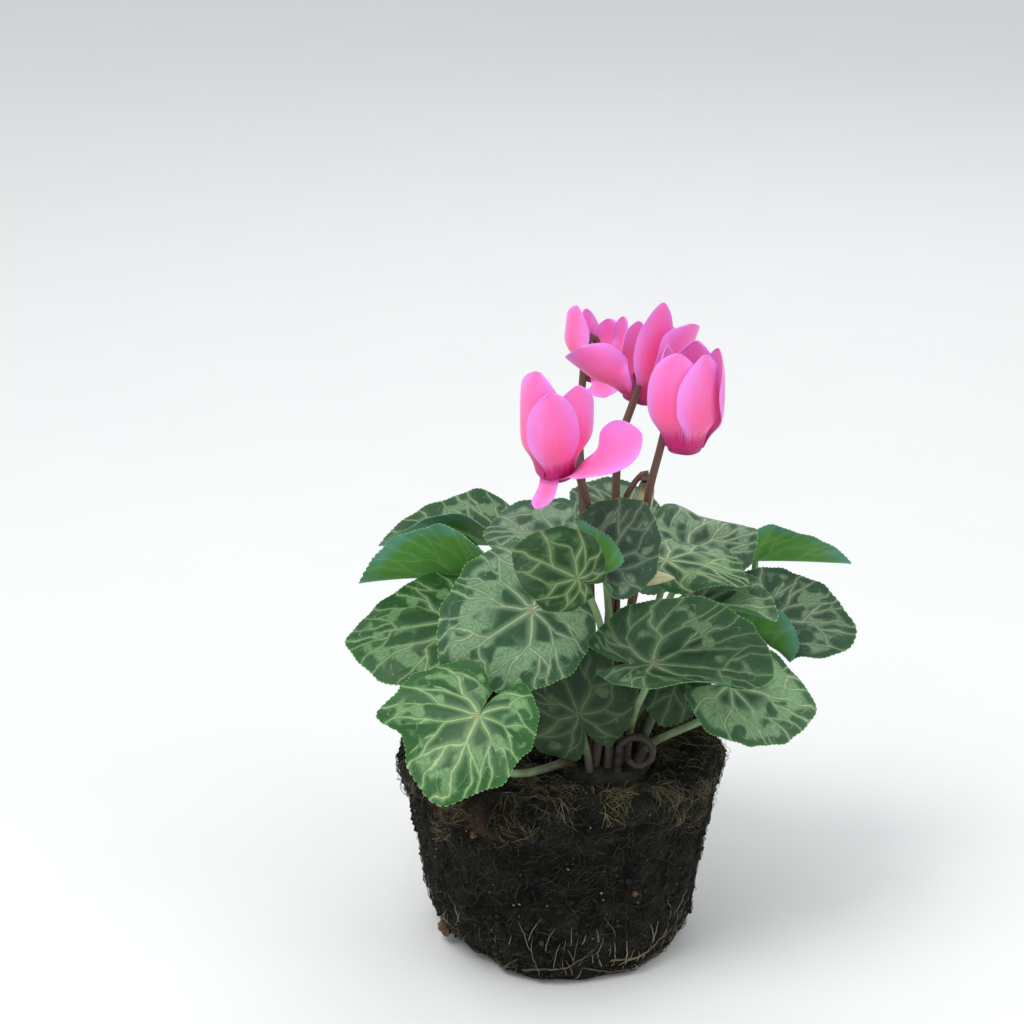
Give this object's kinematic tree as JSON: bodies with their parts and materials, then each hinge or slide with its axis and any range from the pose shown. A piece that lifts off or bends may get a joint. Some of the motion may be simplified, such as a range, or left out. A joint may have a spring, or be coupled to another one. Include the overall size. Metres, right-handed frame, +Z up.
{
  "type": "potted cyclamen without its pot",
  "caption": "Pink-flowered cyclamen with marbled heart-shaped leaves, standing on its bare peat root ball as lifted from the pot.",
  "frame": {"origin": "centre of the root ball's flat underside", "axes": "+Z up, -Y towards the side the picture shows, +X to the viewer's right"},
  "size_m": [0.1803, 0.1701, 0.2326],
  "materials": {
    "peat": "rough, fibrous",
    "tuber": "corky",
    "leaf": "satin, marbled",
    "petiole": "satin",
    "petal": "soft, velvety",
    "flower_stalk": "satin",
    "bud": "satin"
  },
  "bodies": {
    "root": {"root_ball": "peat", "tuber": "tuber", "leaf_01": "leaf", "petiole_01": "petiole", "leaf_02": "leaf", "petiole_02": "petiole", "leaf_03": "leaf", "petiole_03": "petiole", "leaf_04": "leaf", "petiole_04": "petiole", "leaf_05": "leaf", "petiole_05": "petiole", "leaf_06": "leaf", "petiole_06": "petiole", "leaf_07": "leaf", "petiole_07": "petiole", "leaf_08": "leaf", "petiole_08": "petiole", "leaf_09": "leaf", "petiole_09": "petiole", "leaf_10": "leaf", "petiole_10": "petiole", "leaf_11": "leaf", "petiole_11": "petiole", "leaf_12": "leaf", "petiole_12": "petiole", "leaf_13": "leaf", "petiole_13": "petiole", "leaf_14": "leaf", "petiole_14": "petiole", "leaf_15": "leaf", "petiole_15": "petiole", "leaf_16": "leaf", "petiole_16": "petiole", "leaf_17": "leaf", "petiole_17": "petiole", "leaf_18": "leaf", "petiole_18": "petiole", "leaf_19": "leaf", "petiole_19": "petiole", "leaf_20": "leaf", "petiole_20": "petiole", "leaf_21": "leaf", "petiole_21": "petiole", "leaf_22": "leaf", "petiole_22": "petiole", "petals_front": "petal", "stalk_front": "flower_stalk", "petals_back": "petal", "stalk_back": "flower_stalk", "petals_right": "petal", "stalk_right": "flower_stalk", "petals_high": "petal", "stalk_high": "flower_stalk", "bud_nodding": "bud", "stalk_bud_nodding": "flower_stalk", "bud_low": "bud", "stalk_bud_low": "flower_stalk", "old_stalk": "flower_stalk"}
  },
  "joints": []
}
